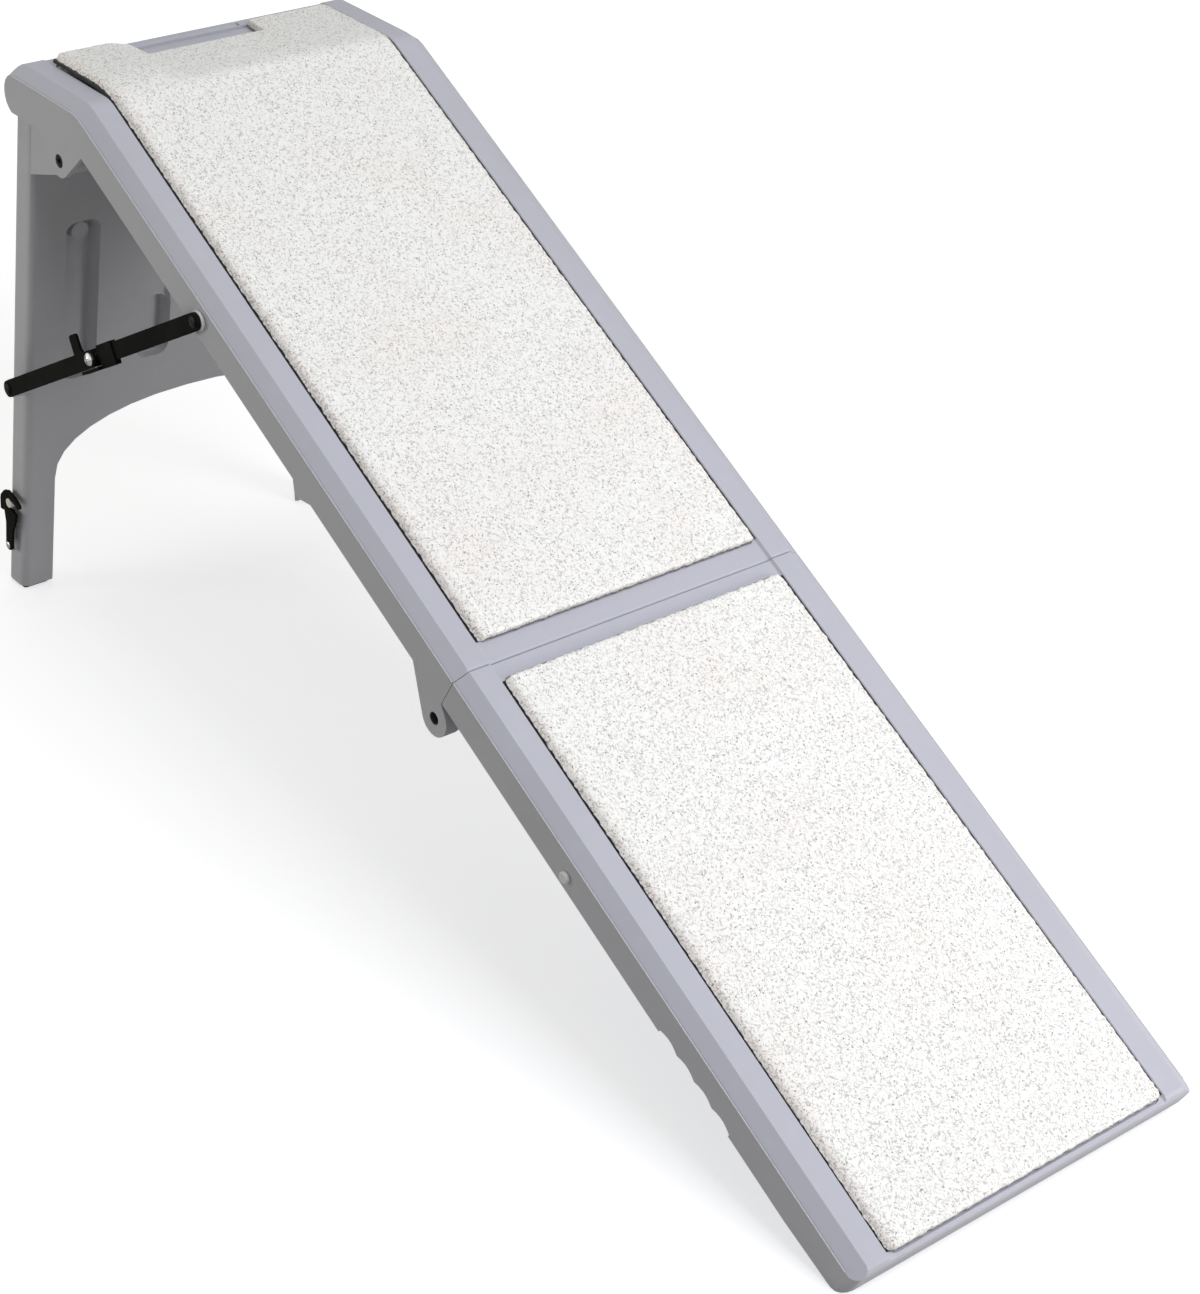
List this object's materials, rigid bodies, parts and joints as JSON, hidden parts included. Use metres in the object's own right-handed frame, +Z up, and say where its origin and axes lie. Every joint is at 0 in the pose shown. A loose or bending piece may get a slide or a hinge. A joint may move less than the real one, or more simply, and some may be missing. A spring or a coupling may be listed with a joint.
{
  "type": "folding pet ramp",
  "caption": "Folding moulded ramp with a level top platform, carpet-like mats, an arched leg frame, side braces and a travel hook.",
  "frame": {"origin": "on the floor, under the middle of the ramp's box", "axes": "+X down the ramp towards its low end, -Y the side with the travel hook, +Z up"},
  "size_m": [1.3686, 0.4398, 0.6312],
  "materials": {
    "moulding": "fine moulded grain",
    "fibre": "looped fibre mat",
    "rubber": "matte",
    "satin_black": "satin",
    "zinc": "bright zinc",
    "nylon": "smooth",
    "dark_steel": "blackened"
  },
  "bodies": {
    "ramp": {"upper_panel": "moulding", "upper_mat": "fibre", "mid_pin_near": "dark_steel", "mid_pin_far": "dark_steel", "leg_bolt_near": "dark_steel", "leg_bolt_far": "dark_steel", "ramp_rivet_near": "dark_steel", "ramp_rivet_far": "dark_steel", "ramp_spacer_near": "nylon", "ramp_spacer_far": "nylon"},
    "lower_deck": {"lower_panel": "moulding", "lower_mat": "fibre", "toe_strip": "rubber", "panel_stud": "nylon"},
    "leg": {"leg_panel": "moulding", "foot_pad_near": "rubber", "foot_pad_far": "rubber", "leg_nut_near": "zinc", "leg_nut_far": "zinc", "leg_spacer_near": "nylon", "leg_spacer_far": "nylon", "leg_stud": "nylon", "latch_screw": "zinc"},
    "ramp_bar_near": {"ramp_link_near": "satin_black", "lock_sleeve_near": "satin_black"},
    "ramp_bar_far": {"ramp_link_far": "satin_black", "lock_sleeve_far": "satin_black"},
    "leg_bar_near": {"leg_link_near": "satin_black", "leg_rivet_near": "dark_steel", "middle_screw_near": "zinc", "middle_washer_near": "zinc"},
    "leg_bar_far": {"leg_link_far": "satin_black", "leg_rivet_far": "dark_steel", "middle_screw_far": "zinc", "middle_washer_far": "zinc"},
    "hook": {"latch_hook": "satin_black"}
  },
  "joints": [
    {"name": "lower_fold", "type": "hinge", "parent": "ramp", "child": "lower_deck", "pos_m": [0.11014, 0, 0.2467], "axis": [0, 1, 0], "range_deg": [0, 180]},
    {"name": "leg_fold", "type": "hinge", "parent": "ramp", "child": "leg", "pos_m": [-0.51907, 0, 0.55185], "axis": [0, -1, 0], "range_deg": [0, 70.33]},
    {"name": "ramp_bar_near_fold", "type": "hinge", "parent": "ramp", "child": "ramp_bar_near", "pos_m": [-0.26658, 0, 0.48271], "axis": [0, -1, 0], "range_deg": [0, 119.1]},
    {"name": "ramp_bar_far_fold", "type": "hinge", "parent": "ramp", "child": "ramp_bar_far", "pos_m": [-0.26658, 0, 0.48271], "axis": [0, -1, 0], "range_deg": [0, 119.1]},
    {"name": "leg_bar_near_fold", "type": "hinge", "parent": "ramp_bar_near", "child": "leg_bar_near", "pos_m": [-0.45136, 0, 0.36961], "axis": [0, -1, 0], "range_deg": [-144, 0]},
    {"name": "leg_bar_far_fold", "type": "hinge", "parent": "ramp_bar_far", "child": "leg_bar_far", "pos_m": [-0.45136, 0, 0.36961], "axis": [0, -1, 0], "range_deg": [-144, 0]},
    {"name": "hook_swing", "type": "hinge", "parent": "leg", "child": "hook", "pos_m": [-0.66175, 0, 0.05426], "axis": [0, -1, 0], "range_deg": [0, 277.12]}
  ],
  "couplings": [
    {"joint": "ramp_bar_near_fold", "follows": "leg_fold", "ratio": 1.6934},
    {"joint": "ramp_bar_far_fold", "follows": "leg_fold", "ratio": 1.6934},
    {"joint": "leg_bar_near_fold", "follows": "leg_fold", "ratio": -2.0473},
    {"joint": "leg_bar_far_fold", "follows": "leg_fold", "ratio": -2.0473}
  ]
}
